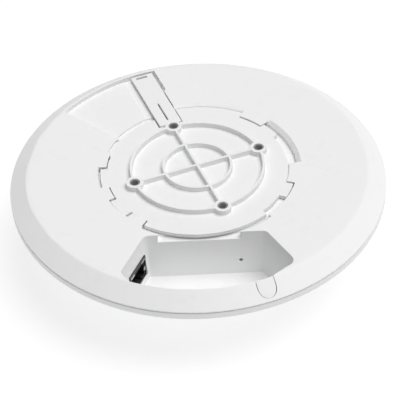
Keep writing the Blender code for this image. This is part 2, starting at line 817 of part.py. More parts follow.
def heat_spreader(aluminium):
    """The round plate that draws heat from the shields and carries the antennas."""
    low = SPREADER_TOP_Z - SPREADER_THICK
    plate = disc("heat_spreader", SPREADER_R, low, SPREADER_TOP_Z, steps=48)
    cut(plate, disc("cable_hole", 3.0 * MM, low - MM, SPREADER_TOP_Z + MM, *CABLE_SPOT, helper=True))
    return finish(plate, aluminium)


def antennas(tin):
    """Stamped antennas under the spreader: long ones for the low band, short for the high."""
    top = SPREADER_TOP_Z - SPREADER_THICK - FIT_GAP
    for index in range(6):
        low_band = index % 2 == 0
        length = 24.0 * MM if low_band else 13.0 * MM
        height = 9.0 * MM if low_band else 6.0 * MM
        azimuth = 30.0 + 60.0 * index
        name = f"low_band_antenna_{index // 2 + 1}" if low_band else f"high_band_antenna_{index // 2 + 1}"
        radius = 31.0 * MM
        x, y = polar(radius, azimuth)
        foot = box(name, (6.0 * MM, length, 0.6 * MM), (x, y, top - 0.3 * MM), azimuth)
        roof_z = top - height + 0.3 * MM
        roof = box(f"{name}_roof", (5.8 * MM, length * 0.7, 0.6 * MM), (x, y, roof_z), azimuth, helper=True)
        x, y = polar(radius + 2.4 * MM, azimuth)
        wall_size = (0.6 * MM, length - 0.6 * MM, height - 0.4 * MM)
        wall = box(f"{name}_wall", wall_size, (x, y, top - height / 2), azimuth, helper=True)
        join(foot, wall, roof)
        finish(foot, tin)


def reset_switch(black, white):
    """A side-pressed switch on the board, behind the pinhole in the recess wall."""
    wall_y = RECESS_INNER_Y + RECESS_WALL
    front_y = wall_y + 2.2 * MM
    depth = 4.0 * MM
    body_h = 9.4 * MM
    body = box("reset_switch_body", (6.4 * MM, depth, body_h), (PINHOLE_X, front_y + depth / 2, BOARD_LOW_Z - 0.05 * MM - body_h / 2))
    bore = box("plunger_bore", (2.9 * MM, 4.0 * MM, 2.9 * MM), (PINHOLE_X, front_y + MM - 0.5 * MM, PINHOLE_Z), helper=True)
    cut(body, bore)
    finish(body, black)
    plunger = disc("reset_button", 1.1 * MM, -1.3 * MM, 1.3 * MM)
    plunger.location = (PINHOLE_X, front_y + 0.2 * MM, PINHOLE_Z)
    plunger.rotation_euler.x = math.radians(90)
    finish(plunger, white, smooth=True)


def led_board(white_board, led):
    """The ring-shaped board above the light ring, with its lamps facing down into the ring."""
    low = LED_BOARD_LOW_Z
    ring = turned(
        "led_board",
        [(15.0 * MM, low + MM), (25.0 * MM, low + MM), (25.0 * MM, low), (15.0 * MM, low)],
        steps=48,
        closed=True,
    )
    finish(ring, white_board)
    for index in range(4):
        x, y = polar(20.4 * MM, 45.0 + 90.0 * index)
        lamp = box(f"status_lamp_{index + 1}", (2.8 * MM, 3.5 * MM, 1.2 * MM), (x, y, low - 0.7 * MM), 45.0 + 90.0 * index)
        finish(lamp, led)


def led_cable(brown):
    """The cable from the main board, through the spreader, to the ring board."""
    x, y = CABLE_SPOT
    low = LED_BOARD_LOW_Z + 1.9 * MM
    run = [
        (y, BOARD_LOW_Z - 0.1 * MM),
        (y, -20.0 * MM),
        (y + 2.0 * MM, low + 3.0 * MM),
        (y + 6.5 * MM, low),
    ]
    path = bpy.data.curves.new("led_cable", "CURVE")
    path.dimensions = "3D"
    line = path.splines.new("POLY")
    line.points.add(len(run) - 1)
    for point, (along, height) in zip(line.points, run):
        point.co = (x, along, height, 1.0)
    path.bevel_depth = 0.5 * MM
    path.bevel_resolution = 2
    path.use_fill_caps = True
    cable = bpy.data.objects.new("led_cable", path)
    bpy.data.collections[PARTS].objects.link(cable)
    path.materials.append(brown)
    return cable


def main():
    clear_scene()
    make_collection(PARTS)
    cutters = make_collection(CUTTERS)
    cutters.hide_render = True
    white = make_material("white_plastic", (0.86, 0.865, 0.87), 0.45)
    bracket_white = make_material("bracket_plastic", (0.84, 0.845, 0.85), 0.5)
    clear = make_material("frosted_plastic", (0.92, 0.93, 0.95), 0.3)
    steel = make_material("tinned_steel", (0.72, 0.72, 0.70), 0.35, 1.0)
    dark_steel = make_material("blackened_steel", (0.08, 0.08, 0.085), 0.5, 1.0)
    aluminium = make_material("aluminium", (0.78, 0.79, 0.80), 0.4, 1.0)
    gold = make_material("gold_plate", (0.90, 0.70, 0.35), 0.3, 1.0)
    black = make_material("black_plastic", (0.02, 0.02, 0.022), 0.5)
    grey = make_material("ferrite", (0.12, 0.12, 0.13), 0.6)
    blue = make_material("capacitor_sleeve", (0.05, 0.07, 0.16), 0.4)
    green = make_material("board_green", (0.03, 0.22, 0.10), 0.45)
    pad = make_material("thermal_pad", (0.35, 0.45, 0.60), 0.8)
    brown = make_material("cable_jacket", (0.45, 0.25, 0.08), 0.5)
    lamp = make_material("lamp_lens", (0.95, 0.93, 0.70), 0.2)

    rear_casing(white)
    cable_knockout(white)
    front_cover(white)
    light_ring(clear)
    centre_cap(white)
    mounting_bracket(bracket_white)
    screw_sleeves(dark_steel)
    locking_arm(bracket_white)
    ethernet_jack(steel, black, gold)
    main_board(green)
    board_screws(steel)
    board_parts(steel, black, grey, blue, pad)
    heat_spreader(aluminium)
    antennas(steel)
    reset_switch(black, white)
    led_board(white, lamp)
    led_cable(brown)


main()
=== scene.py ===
"""Looks of a ceiling access point that lies on its domed front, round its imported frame.

The frame's origin is the crossing of the bracket's ribs, in the plane that meets the ceiling.
+Z points away from the dome, and the port recess opens towards -Y. All lengths are in metres.
"""

import json  # noqa: E402
import logging  # noqa: E402
import math  # noqa: E402
from dataclasses import dataclass, field  # noqa: E402
from enum import Enum  # noqa: E402
from typing import Iterable, Optional, Union  # noqa: E402

import bmesh  # noqa: E402
import bpy  # noqa: E402
from mathutils import Matrix, Vector  # noqa: E402

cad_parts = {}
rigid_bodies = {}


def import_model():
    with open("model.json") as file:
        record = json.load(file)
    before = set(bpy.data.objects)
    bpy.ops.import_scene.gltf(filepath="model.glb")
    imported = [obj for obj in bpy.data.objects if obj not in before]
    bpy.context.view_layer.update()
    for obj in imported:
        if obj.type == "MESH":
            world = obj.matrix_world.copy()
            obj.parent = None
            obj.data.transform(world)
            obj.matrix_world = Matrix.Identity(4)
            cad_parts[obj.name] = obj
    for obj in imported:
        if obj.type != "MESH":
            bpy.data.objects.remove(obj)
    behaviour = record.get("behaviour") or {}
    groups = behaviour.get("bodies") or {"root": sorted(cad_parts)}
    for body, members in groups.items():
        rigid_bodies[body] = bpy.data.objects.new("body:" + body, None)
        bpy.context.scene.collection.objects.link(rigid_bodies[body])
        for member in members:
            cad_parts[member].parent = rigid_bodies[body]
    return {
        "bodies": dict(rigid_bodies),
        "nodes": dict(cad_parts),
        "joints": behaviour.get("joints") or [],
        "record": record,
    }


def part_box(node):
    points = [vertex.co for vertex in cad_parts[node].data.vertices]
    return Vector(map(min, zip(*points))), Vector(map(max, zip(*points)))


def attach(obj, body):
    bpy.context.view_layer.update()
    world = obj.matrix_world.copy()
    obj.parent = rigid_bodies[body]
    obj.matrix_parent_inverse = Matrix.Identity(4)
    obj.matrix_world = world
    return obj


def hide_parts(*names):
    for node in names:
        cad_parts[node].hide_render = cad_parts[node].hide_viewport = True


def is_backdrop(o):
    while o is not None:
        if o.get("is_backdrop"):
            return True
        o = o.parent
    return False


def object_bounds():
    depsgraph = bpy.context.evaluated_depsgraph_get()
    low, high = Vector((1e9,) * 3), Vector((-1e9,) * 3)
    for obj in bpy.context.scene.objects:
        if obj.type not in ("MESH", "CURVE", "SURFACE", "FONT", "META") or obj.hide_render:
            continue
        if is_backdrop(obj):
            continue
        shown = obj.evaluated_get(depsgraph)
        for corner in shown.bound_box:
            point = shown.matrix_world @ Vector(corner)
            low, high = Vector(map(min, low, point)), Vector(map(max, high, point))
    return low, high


MM = 0.001
SAME_PLACE = 1e-7
PURE_WHITE = (1.0, 1.0, 1.0, 1.0)
LOG = logging.getLogger("access_point")

# What a node's input is given: a plain number, or the output of another node
Feed = Union[float, bpy.types.NodeSocket]
# A point of a turned profile: its radius and its height
Point = tuple[float, float]


# ------------------------------------------------------------------ finishes


class Slot(Enum):
    """The record's material slots, named beside each built piece."""

    WHITE = "white_plastic"
    BRACKET = "bracket_plastic"
    FROSTED = "frosted_plastic"
    STEEL = "tinned_steel"
    BLACK = "black_plastic"
    GOLD = "gold_plate"


def socket(
    tree: bpy.types.NodeTree,
    name: str,
    way: str,
    kind: str,
    value: Optional[Union[float, tuple[float, ...]]] = None,
) -> None:
    """Add one named socket to a node group.

    Args:
        tree: The group's node tree.
        name: The socket's name.
        way: INPUT or OUTPUT.
        kind: The socket's type, such as NodeSocketFloat.
        value: Its default value, if it has one.
    """
    made = tree.interface.new_socket(name=name, in_out=way, socket_type=kind)
    if value is not None:
        made.default_value = value


class SurfaceCharacter:
    """A node group that gives any material its grain, its uneven tone and its handling marks."""

    name = "surface_character"
    default_tone = (0.8, 0.8, 0.8, 1.0)
    default_values = {
        "Tone Shift": 0.02,
        "Roughness": 0.5,
        "Polish Shift": 0.05,
        "Grain Scale": 2500.0,
        "Patch Scale": 30.0,
        "Marks": 0.1,
    }
    even_stretch = (1.0, 1.0, 1.0)
    noise_middle = 0.5
    patch_detail = 3.0
    patch_distortion = 0.4
    grain_detail = 2.0
    mark_fineness = 3.7
    mark_detail = 6.0
    mark_distortion = 1.2
    mark_fade = (0.55, 0.72)
    mark_darkening = 0.12
    mark_polish = 0.5

    def __init__(self) -> None:
        """Build the group once."""
        self.tree = bpy.data.node_groups.new(self.name, "ShaderNodeTree")
        self._sockets()
        self._wire()

    def _sockets(self) -> None:
        """Declare what the group takes and gives."""
        socket(self.tree, "Tone", "INPUT", "NodeSocketColor", self.default_tone)
        for name, value in self.default_values.items():
            socket(self.tree, name, "INPUT", "NodeSocketFloat", value)
        socket(self.tree, "Stretch", "INPUT", "NodeSocketVector", self.even_stretch)
        socket(self.tree, "Colour", "OUTPUT", "NodeSocketColor")
        socket(self.tree, "Roughness", "OUTPUT", "NodeSocketFloat")
        socket(self.tree, "Height", "OUTPUT", "NodeSocketFloat")

    def _node(self, kind: str, **values: str) -> bpy.types.Node:
        """Add a node.

        Args:
            kind: The node's type.
            **values: Its plain properties.

        Returns:
            The new node.
        """
        node = self.tree.nodes.new(kind)
        for name, value in values.items():
            setattr(node, name, value)
        return node

    def _feed(self, value: Feed, taker: bpy.types.NodeSocket) -> None:
        """Give an input its number, or link it to the output that drives it.

        Args:
            value: The number or the output.
            taker: The input.
        """
        if isinstance(value, (int, float)):
            taker.default_value = value
        else:
            self.tree.links.new(value, taker)

    def _math(self, operation: str, first: Feed, second: Feed) -> bpy.types.NodeSocket:
        """Combine two values.

        Args:
            operation: The math node's operation.
            first: The first value.
            second: The second value.

        Returns:
            The result's socket.
        """
        node = self._node("ShaderNodeMath", operation=operation)
        self._feed(first, node.inputs[0])
        self._feed(second, node.inputs[1])
        return node.outputs[0]

    def _noise(
        self, place: bpy.types.NodeSocket, scale: Feed, detail: float, distortion: float = 0.0
    ) -> bpy.types.NodeSocket:
        """Make a noise over the surface.

        Args:
            place: The coordinates it reads.
            scale: How fine it is.
            detail: How many finer layers it has.
            distortion: How much it is warped.

        Returns:
            The noise value's socket.
        """
        node = self._node("ShaderNodeTexNoise")
        self._feed(detail, node.inputs["Detail"])
        self._feed(distortion, node.inputs["Distortion"])
        self._feed(place, node.inputs["Vector"])
        self._feed(scale, node.inputs["Scale"])
        return node.outputs["Fac"]

    def _wire(self) -> None:
        """Connect the grain, the patches and the marks to the outputs."""
        links = self.tree.links
        given = self._node("NodeGroupInput").outputs
        place = self._node("ShaderNodeTexCoord").outputs["Object"]
        stretched = self._node("ShaderNodeVectorMath", operation="MULTIPLY")
        links.new(place, stretched.inputs[0])
        links.new(given["Stretch"], stretched.inputs[1])

        patch_scale = given["Patch Scale"]
        patches = self._noise(place, patch_scale, self.patch_detail, self.patch_distortion)
        grain = self._noise(stretched.outputs[0], given["Grain Scale"], self.grain_detail)
        finer = self._math("MULTIPLY", patch_scale, self.mark_fineness)
        rubbed = self._noise(place, finer, self.mark_detail, self.mark_distortion)
        edge = self._node("ShaderNodeMapRange", interpolation_type="SMOOTHSTEP")
        self._feed(self.mark_fade[0], edge.inputs["From Min"])
        self._feed(self.mark_fade[1], edge.inputs["From Max"])
        self._feed(rubbed, edge.inputs["Value"])
        marks = self._math("MULTIPLY", edge.outputs["Result"], given["Marks"])

        uneven = self._math("SUBTRACT", patches, self.noise_middle)
        swing = self._math("MULTIPLY", uneven, given["Tone Shift"])
        dulled = self._math("SUBTRACT", swing, self._math("MULTIPLY", marks, self.mark_darkening))
        bright = self._math("ADD", dulled, 1.0)
        tinted = self._node("ShaderNodeVectorMath", operation="SCALE")
        links.new(given["Tone"], tinted.inputs[0])
        links.new(bright, tinted.inputs["Scale"])

        polish = self._math("MULTIPLY", uneven, given["Polish Shift"])
        rough = self._math("ADD", given["Roughness"], polish)
        rough = self._math("SUBTRACT", rough, self._math("MULTIPLY", marks, self.mark_polish))

        out = self._node("NodeGroupOutput")
        links.new(tinted.outputs[0], out.inputs["Colour"])
        links.new(rough, out.inputs["Roughness"])
        links.new(grain, out.inputs["Height"])


@dataclass(frozen=True)
class Finish:
    """One material: its colour and gloss, and how grainy, uneven and handled it is."""

    name: str
    colour: tuple[float, float, float]
    roughness: float
    metallic: float = 0.0
    tone_shift: float = 0.02
    polish_shift: float = 0.08
    grain_scale: float = 2600.0
    grain_depth: float = 0.00001
    grain_strength: float = 0.5
    patch_scale: float = 28.0
    marks: float = 0.15
    stretch: tuple[float, float, float] = (1.0, 1.0, 1.0)
    coat: float = 0.0
    coat_roughness: float = 0.12
    transmission: float = 0.0
    glow: float = 0.0
    shine: float = 0.5

    def material(self, character: SurfaceCharacter) -> bpy.types.Material:
        """Build the material round the shared group.

        Args:
            character: The group that gives grain and variation.

        Returns:
            The new material.
        """
        made = bpy.data.materials.new(self.name)
        made.use_nodes = True
        nodes, links = made.node_tree.nodes, made.node_tree.links
        shader = nodes["Principled BSDF"]
        gloss = {
            "Metallic": self.metallic,
            "Coat Weight": self.coat,
            "Coat Roughness": self.coat_roughness,
            "Transmission Weight": self.transmission,
            "Specular IOR Level": self.shine,
        }
        if self.glow:
            gloss["Emission Color"] = PURE_WHITE
            gloss["Emission Strength"] = self.glow
        for name, value in gloss.items():
            shader.inputs[name].default_value = value

        group = nodes.new("ShaderNodeGroup")
        group.node_tree = character.tree
        variation = {
            "Tone": (*self.colour, 1.0),
            "Tone Shift": self.tone_shift,
            "Roughness": self.roughness,
            "Polish Shift": self.polish_shift,
            "Grain Scale": self.grain_scale,
            "Patch Scale": self.patch_scale,
            "Marks": self.marks,
            "Stretch": self.stretch,
        }
        for name, value in variation.items():
            group.inputs[name].default_value = value

        bump = nodes.new("ShaderNodeBump")
        bump.inputs["Strength"].default_value = self.grain_strength
        bump.inputs["Distance"].default_value = self.grain_depth
        links.new(group.outputs["Colour"], shader.inputs["Base Color"])
        links.new(group.outputs["Roughness"], shader.inputs["Roughness"])
        links.new(group.outputs["Height"], bump.inputs["Height"])
        links.new(bump.outputs["Normal"], shader.inputs["Normal"])
        return made


CASING_WHITE = Finish("casing_white", (0.89, 0.892, 0.895), 0.52, shine=0.3)
BRACKET_WHITE = Finish(
    "bracket_white", (0.88, 0.882, 0.885), 0.52, grain_scale=3200.0, shine=0.35
)
COVER_WHITE = Finish("cover_white", (0.86, 0.862, 0.865), 0.42, patch_scale=18.0, shine=0.4)
FROSTED_RING = Finish(
    "frosted_ring", (0.80, 0.85, 0.90), 0.3, transmission=0.45, grain_scale=1500.0
)
TINNED_STEEL = Finish(
    "tinned_steel", (0.66, 0.66, 0.64), 0.32, 1.0, stretch=(1.0, 8.0, 1.0), marks=0.3
)
ROLLED_ALUMINIUM = Finish(
    "rolled_aluminium", (0.76, 0.77, 0.78), 0.38, 1.0, stretch=(1.0, 12.0, 1.0), marks=0.25
)
# Steel of the jack's shell, toned near black so the jack's mouth reads dark: painted shade of the
# deep opening, not the shell's own tinned colour.
JACK_STEEL_PAINTED_SHADE = Finish(
    "jack_steel_painted_shade", (0.14, 0.14, 0.135), 0.4, 1.0, stretch=(1.0, 8.0, 1.0), marks=0.3
)
# Steel of the screw sleeves, toned dark grey so the screw holes read dark: painted shade of the
# deep holes, not a blackened finish.
SLEEVE_STEEL_PAINTED_SHADE = Finish(
    "blackened_steel", (0.40, 0.40, 0.41), 0.6, 0.2, tone_shift=0.1, marks=0.3
)
GOLD_PLATE = Finish("gold_plate", (0.88, 0.66, 0.28), 0.24, 1.0, tone_shift=0.05)
BLACK_NYLON = Finish("black_nylon", (0.008, 0.008, 0.009), 0.5, tone_shift=0.2, shine=0.3)
CHIP_EPOXY = Finish("chip_epoxy", (0.025, 0.025, 0.027), 0.55, tone_shift=0.2)
BOARD_LACQUER = Finish("board_lacquer", (0.02, 0.16, 0.07), 0.35, tone_shift=0.12, coat=0.3)
FERRITE_GREY = Finish("ferrite_grey", (0.10, 0.10, 0.11), 0.6, tone_shift=0.1)
CAPACITOR_BLUE = Finish(
    "capacitor_sleeve", (0.03, 0.05, 0.14), 0.3, tone_shift=0.08, coat=0.4
)
THERMAL_PAD_BLUE = Finish("thermal_pad", (0.30, 0.42, 0.58), 0.85, tone_shift=0.08)
SWITCH_WHITE = Finish("switch_white", (0.78, 0.78, 0.76), 0.5)
CABLE_BROWN = Finish("cable_jacket", (0.40, 0.22, 0.07), 0.5, tone_shift=0.1)
LAMP_LENS = Finish("lamp_lens", (0.92, 0.90, 0.66), 0.18, coat=0.5)
FLOOR_WHITE = Finish(
    "studio_floor",
    (0.37, 0.37, 0.37),
    0.9,
    tone_shift=0.006,
    grain_scale=400.0,
    grain_depth=0.00002,
    patch_scale=4.0,
    marks=0.0,
    glow=0.68,
    shine=0.0,
)

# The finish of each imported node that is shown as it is
NODE_FINISHES: dict[str, Finish] = {
    "main_board": BOARD_LACQUER,
    "heat_spreader": ROLLED_ALUMINIUM,
    "network_transformer": CHIP_EPOXY,
    "power_transformer": FERRITE_GREY,
    "reset_switch_body": BLACK_NYLON,
    "reset_button": SWITCH_WHITE,
    "led_board": SWITCH_WHITE,
    "led_cable": CABLE_BROWN,
}
# The finish of the other shown nodes, by a part of their name
NODE_FAMILIES: dict[str, Finish] = {
    "_shield": TINNED_STEEL,
    "_chip": CHIP_EPOXY,
    "_thermal_pad": THERMAL_PAD_BLUE,
    "_antenna_": TINNED_STEEL,
    "power_capacitor_": CAPACITOR_BLUE,
    "board_screw_": TINNED_STEEL,
    # the sleeves' dark grey paints the shade inside the screw holes
    "screw_sleeve_": SLEEVE_STEEL_PAINTED_SHADE,
    "status_lamp_": LAMP_LENS,
}


# ------------------------------------------------------------------ shared making


class Workshop:
    """Holds the frame and the materials, and turns meshes into placed pieces.

    Its angles are in degrees: an edge is shaded as crisp past crisp_angle and rounded past
    rounded_angle, and faces that meet at less than flat_angle become one.
    """

    crisp_angle = 35.0
    rounded_angle = 28.0
    flat_angle = 1.0
    rounding_steps = 2
    shading_weight = 80

    def __init__(self, frame: dict) -> None:
        """Keep the frame and build the shared group.
        """
        self.frame = frame
        self.character = SurfaceCharacter()
        self.made: dict[str, bpy.types.Material] = {}

    def material(self, finish: Finish) -> bpy.types.Material:
        """Find the material of a finish, which is built on first use.

        Args:
            finish: The finish.

        Returns:
            Its material.
        """
        if finish.name not in self.made:
            self.made[finish.name] = finish.material(self.character)
        return self.made[finish.name]

    def piece(
        self,
        name: str,
        work: bmesh.types.BMesh,
        finish: Finish,
        body: str,
        replaced: Iterable[str] = (),
        slot: Optional[Slot] = None,
    ) -> bpy.types.Object:
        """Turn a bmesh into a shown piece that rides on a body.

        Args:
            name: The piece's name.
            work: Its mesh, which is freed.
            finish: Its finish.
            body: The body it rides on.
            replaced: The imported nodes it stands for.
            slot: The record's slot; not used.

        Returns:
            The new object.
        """
        for face in work.faces:
            face.smooth = True
        for edge in work.edges:
            if len(edge.link_faces) == 2:
                edge.smooth = edge.calc_face_angle(0.0) < math.radians(self.crisp_angle)
        mesh = bpy.data.meshes.new(name)
        work.to_mesh(mesh)
        work.free()
        obj = bpy.data.objects.new(name, mesh)
        bpy.context.scene.collection.objects.link(obj)
        mesh.materials.append(self.material(finish))
        weighted = obj.modifiers.new("even_shading", "WEIGHTED_NORMAL")
        weighted.keep_sharp = True
        weighted.weight = self.shading_weight
        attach(obj, body)
        if replaced:
            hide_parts(*replaced)
        LOG.info("piece %s: %d faces on %s", name, len(mesh.polygons), body)
        return obj

    def softened_node(
        self, node: str, width: float, merge: float = 0.02 * MM
    ) -> bmesh.types.BMesh:
        """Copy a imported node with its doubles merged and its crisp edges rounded.

        Args:
            node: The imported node's name.
            width: The width of the rounding.
            merge: The distance under which corners become one.

        Returns:
            The new bmesh.
        """
        work = bmesh.new()
        work.from_mesh(self.frame["nodes"][node].data)
        bmesh.ops.remove_doubles(work, verts=work.verts, dist=merge)
        bmesh.ops.dissolve_degenerate(work, dist=merge, edges=work.edges)
        bmesh.ops.dissolve_limit(
            work,
            angle_limit=math.radians(self.flat_angle),
            verts=work.verts,
            edges=work.edges,
        )
        least = math.radians(self.rounded_angle)
        crisp = [
            edge
            for edge in work.edges
            if len(edge.link_faces) == 2 and edge.calc_face_angle(0.0) > least
        ]
        bmesh.ops.bevel(
            work,
            geom=crisp,
            offset=width,
            offset_type="OFFSET",
            affect="EDGES",
            segments=self.rounding_steps,
            profile=0.5,
            material=-1,
            clamp_overlap=False,
            loop_slide=True,
        )
        many_sided = [face for face in work.faces if len(face.verts) > 4]
        bmesh.ops.triangulate(work, faces=many_sided, ngon_method="EAR_CLIP")
        return work


def spun(profile: list[Point], closed: bool, steps: int) -> bmesh.types.BMesh:
    """Turn a profile about Z into a closed shell.

    Args:
        profile: The points of the profile, in order.
        closed: Whether the last point joins the first.
        steps: The number of steps round the axis.

    Returns:
        The new bmesh, with its normals pointing out.
    """
    work = bmesh.new()
    verts = [work.verts.new((radius, 0.0, height)) for radius, height in profile]
    edges = [work.edges.new(pair) for pair in zip(verts, verts[1:])]
    if closed:
        edges.append(work.edges.new((verts[-1], verts[0])))
    bmesh.ops.spin(
        work,
        geom=verts + edges,
        cent=(0.0, 0.0, 0.0),
        axis=(0.0, 0.0, 1.0),
        angle=math.tau,
        steps=steps,
        use_merge=True,
        use_duplicate=False,
    )
    bmesh.ops.remove_doubles(work, verts=work.verts, dist=SAME_PLACE)
    bmesh.ops.recalc_face_normals(work, faces=work.faces)
    return work


def block(work: bmesh.types.BMesh, size: Iterable[float], place: Matrix) -> None:
    """Add a block to a bmesh.

    Args:
        work: The bmesh that takes it.
        size: Its size along its own axes.
        place: Its place and turn.
    """
    scale = Matrix.Diagonal((*size, 1.0))
    bmesh.ops.create_cube(work, size=1.0, matrix=place @ scale)


# ------------------------------------------------------------------ sub-assemblies


@dataclass
class Casing:
    """The white back shell with its port recess, and the tab that snaps out of its rim."""

    shop: Workshop
    rounding: float = 0.14 * MM
    merge: float = 0.06 * MM
    tab_rounding: float = 0.12 * MM

    def build(self) -> None:
        """Make the back shell and the tab."""
        shell = self.shop.softened_node("rear_casing", self.rounding, self.merge)
        self.shop.piece(
            "back_shell", shell, CASING_WHITE, "access_point", ["rear_casing"], Slot.WHITE
        )
        tab = self.shop.softened_node("cable_knockout", self.tab_rounding)
        self.shop.piece(
            "cable_tab", tab, CASING_WHITE, "access_point", ["cable_knockout"], Slot.WHITE
        )


@dataclass
class FrontCover:
    """The domed cover, with the light ring and the plain cap in its middle.

    A point is a radius and a height, and corner is the share of a rounding by which the middle
    point of a rounded corner stays clear of the corner's two faces.
    """

    shop: Workshop
    corner: float = 0.3
    gap: float = 0.3 * MM

    # The dome's curve, from its rim to its middle
    start: Point = (84.2 * MM, -12.0 * MM)
    shoulder: Point = (63.0 * MM, -37.0 * MM)
    belly: Point = (38.0 * MM, -44.0 * MM)
    middle: Point = (0.0, -44.0 * MM)
    curve_points: int = 40
    wall: float = 2.0 * MM
    cover_steps: int = 192

    # The lip round the rim, the skirt inside it and the bead round the middle hole
    lip_rounding: float = 0.35 * MM
    lip_foot: float = -11.1 * MM
    lip_tuck: Point = (0.15 * MM, -11.5 * MM)
    skirt: float = 83.6 * MM
    skirt_foot: float = -10.8 * MM
    bead_drop: float = 0.05 * MM
    bead_width: float = 0.1 * MM
    bead_height: float = 0.15 * MM

    # The light ring
    ring_outer: float = 22.0 * MM
    ring_inner: float = 18.9 * MM
    ring_rounding: float = 0.15 * MM
    ring_slope: float = 0.12 * MM
    ring_crown: float = 0.02 * MM
    flange_width: float = 3.0 * MM
    flange_thickness: float = 1.0 * MM
    fillet_outer: float = 0.3 * MM
    fillet_inner: float = 0.1 * MM

    # The middle cap
    cap_rounding: float = 0.3 * MM
    cap_shoulder: float = 0.9 * MM
    cap_rise: float = 0.8 * MM
    cap_flat: float = 12.0 * MM
    cap_points: int = 8
    cap_fall: float = 1.6
    middle_steps: int = 144

    def build(self) -> None:
        """Make the cover, the ring and the cap."""
        self._cover()
        self._ring()
        self._cap()

    def _dome(self, depth: float, least: float) -> list[Point]:
        """Trace the dome's curve from its rim inwards.

        Args:
            depth: How far the curve is set in from the outer face.
            least: The radius at which it stops.

        Returns:
            The points of the curve.
        """
        cage = [Vector(point) for point in (self.start, self.shoulder, self.belly, self.middle)]
        curve = []
        for index in range(self.curve_points + 1):
            t = index / self.curve_points
            s = 1.0 - t
            point = (
                s**3 * cage[0] + 3 * s * s * t * cage[1] + 3 * s * t * t * cage[2] + t**3 * cage[3]
            )
            run = (
                s * s * (cage[1] - cage[0])
                + 2 * s * t * (cage[2] - cage[1])
                + t * t * (cage[3] - cage[2])
            )
            moved = point + Vector((run.y, -run.x)).normalized() * depth
            if moved.x >= least:
                curve.append((moved.x, moved.y))
        return curve

    def _cover(self) -> None:
        """Make the domed cover with its lip, its skirt and its middle hole."""
        _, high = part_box("front_cover")
        rim, top = high.x, high.z
        soft = self.lip_rounding
        hole = self.ring_outer + self.gap
        outer = self._dome(0.0, hole)
        inner = self._dome(self.wall, hole)
        bead = outer[-1][1] - self.bead_drop
        profile = [
            (self.skirt, top),
            (rim - soft, top),
            (rim - self.corner * soft, top - self.corner * soft),
            (rim, top - soft),
            (rim, self.lip_foot),
            (rim - self.lip_tuck[0], self.lip_tuck[1]),
            *outer,
            (hole + self.bead_width, bead),
            (hole, bead + self.bead_height),
            (hole, bead + self.wall),
            *reversed(inner[1:]),
            (self.skirt, self.skirt_foot),
        ]
        cover = spun(profile, True, self.cover_steps)
        self.shop.piece(
            "dome_cover", cover, COVER_WHITE, "access_point", ["front_cover"], Slot.WHITE
        )

    def _ring(self) -> None:
        """Make the light ring, crowned a little at its face."""
        low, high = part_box("light_ring")
        face, ledge = low.z, high.z - self.flange_thickness
        flange_outer, flange_inner = high.x, self.ring_inner - self.flange_width
        soft = self.ring_rounding
        profile = [
            (flange_inner, high.z),
            (flange_outer, high.z),
            (flange_outer, ledge + self.fillet_outer),
            (self.ring_outer, ledge + self.fillet_inner),
            (self.ring_outer, face + soft + self.ring_slope),
            (self.ring_outer - soft, face + self.ring_slope),
            ((self.ring_outer + self.ring_inner) / 2, face + self.ring_crown),
            (self.ring_inner + soft, face),
            (self.ring_inner, face + soft),
            (self.ring_inner, ledge),
            (flange_inner, ledge),
        ]
        ring = spun(profile, True, self.middle_steps)
        self.shop.piece(
            "glow_ring", ring, FROSTED_RING, "access_point", ["light_ring"], Slot.FROSTED
        )

    def _cap(self) -> None:
        """Make the middle cap with a rounded rim."""
        low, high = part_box("centre_cap")
        edge = high.x
        soft = self.cap_rounding
        profile = [
            (0.0, high.z),
            (edge, high.z),
            (edge, low.z + self.cap_shoulder + soft),
            (edge - self.corner * soft, low.z + self.cap_shoulder),
            (edge - soft, low.z + self.cap_rise),
        ]
        for index in range(1, self.cap_points + 1):
            t = index / self.cap_points
            radius = (edge - soft) * (1 - t) + self.cap_flat * t
            profile.append((radius, low.z + self.cap_rise * (1 - t) ** self.cap_fall))
        profile.append((0.0, low.z))
        cap = spun(profile, False, self.middle_steps)
        self.shop.piece(
            "middle_cap", cap, COVER_WHITE, "access_point", ["centre_cap"], Slot.WHITE
        )


@dataclass
class MountingBracket:
    """The ribbed twist-lock bracket and its springing arm."""

    shop: Workshop
    rounding: float = 0.1 * MM
    merge: float = 0.12 * MM
    arm_rounding: float = 0.14 * MM

    def build(self) -> None:
        """Make the bracket and the arm."""
        plate = self.shop.softened_node("mounting_bracket", self.rounding, self.merge)
        self.shop.piece(
            "bracket_plate", plate, BRACKET_WHITE, "bracket", ["mounting_bracket"], Slot.BRACKET
        )
        arm = self.shop.softened_node("locking_arm", self.arm_rounding)
        self.shop.piece(
            "spring_arm", arm, BRACKET_WHITE, "locking_arm", ["locking_arm"], Slot.BRACKET
        )


